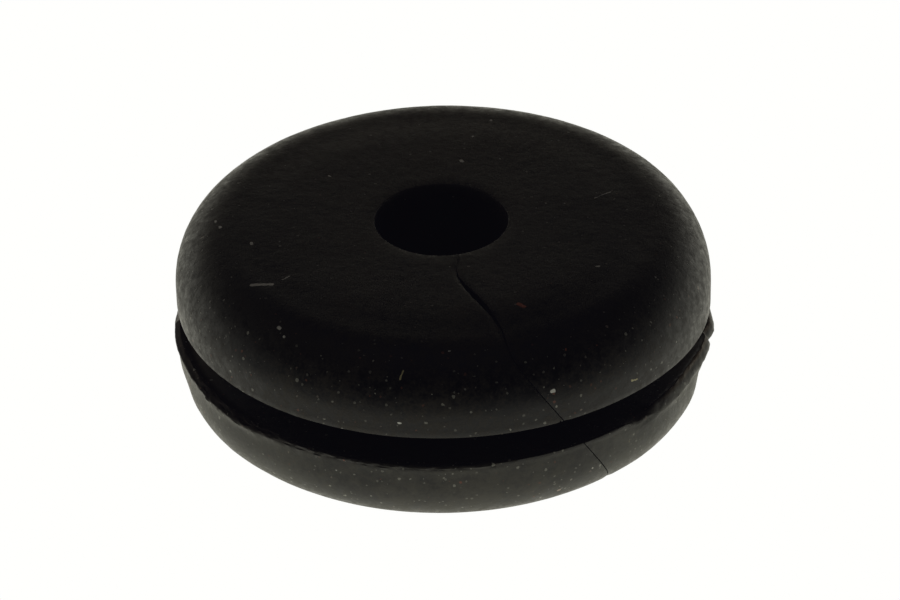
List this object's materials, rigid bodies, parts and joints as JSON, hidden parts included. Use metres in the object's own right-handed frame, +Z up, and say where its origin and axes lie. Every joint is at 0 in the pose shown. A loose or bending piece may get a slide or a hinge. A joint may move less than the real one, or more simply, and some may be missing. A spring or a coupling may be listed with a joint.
{
  "type": "rubber grommet",
  "caption": "Black rubber panel grommet: two thick round-shouldered flanges with a narrow panel groove between them, a straight cable hole, and a slit from the hole to the rim.",
  "frame": {"origin": "on the hole's axis, in the plane of the lower flange's flat underside", "axes": "+Z up along the hole, from the lower flange to the upper one; -Y is the side of the slit"},
  "size_m": [0.0256, 0.0256, 0.0093],
  "materials": {
    "rubber": "matte moulded black rubber, dusty, with small pale lint"
  },
  "bodies": {
    "root": {"grommet": "rubber"}
  },
  "joints": []
}
